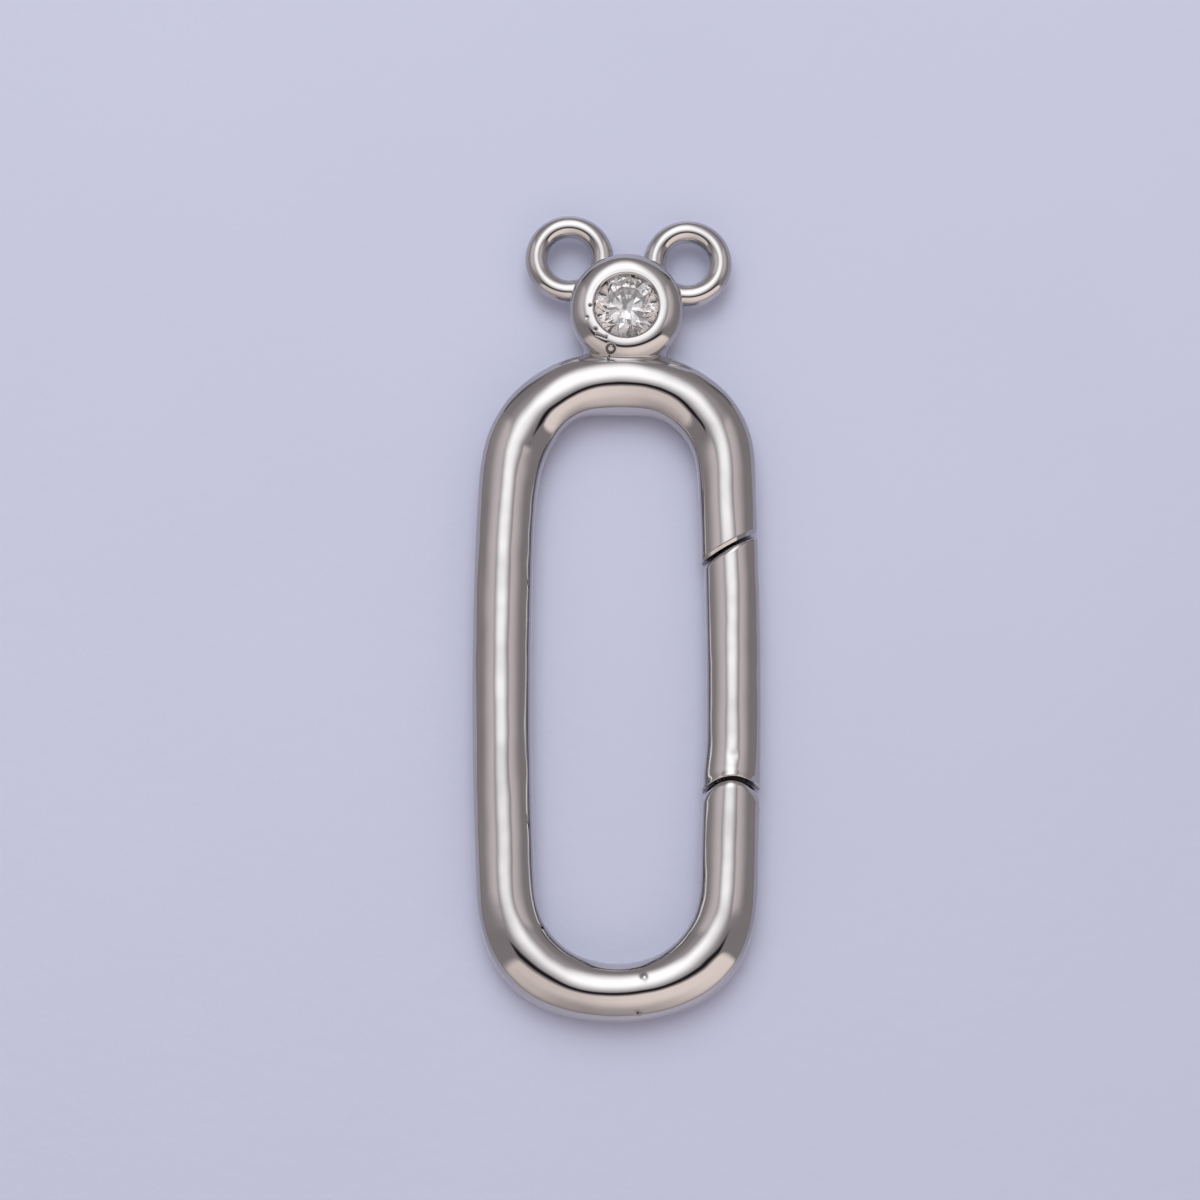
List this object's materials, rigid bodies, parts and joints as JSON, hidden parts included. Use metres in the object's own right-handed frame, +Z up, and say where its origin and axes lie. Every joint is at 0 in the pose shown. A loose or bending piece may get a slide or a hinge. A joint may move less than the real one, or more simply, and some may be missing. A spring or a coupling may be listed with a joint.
{
  "type": "oval gate clasp with bezel-set stone and two chain loops",
  "caption": "Long oval ring clasp in polished white metal with a hinged gate in one side, a bezel-set round clear stone at its head and a chain loop on each side of it.",
  "frame": {"origin": "under the middle of the bounding box, on the surface that the clasp lies on", "axes": "+Z up from the clasp's back, +Y along its length towards the chain loops, +X towards the gate"},
  "size_m": [0.012, 0.0344, 0.0024],
  "materials": {
    "polished_metal": "mirror-polished white plating over brass, with a few small pits",
    "clear_stone": "colourless round brilliant, polished facets"
  },
  "bodies": {
    "frame_body": {"frame": "polished_metal", "hinge_pin": "polished_metal", "stone": "clear_stone"},
    "gate_body": {"gate": "polished_metal"}
  },
  "joints": [
    {"name": "gate_hinge", "type": "hinge", "parent": "frame_body", "child": "gate_body", "pos_m": [0.00475, -0.00875, 0.0012], "axis": [0, 0, -1], "range_deg": [0, 35], "stiffness_Nm_per_rad": 0.005, "springref_deg": -17.19}
  ]
}
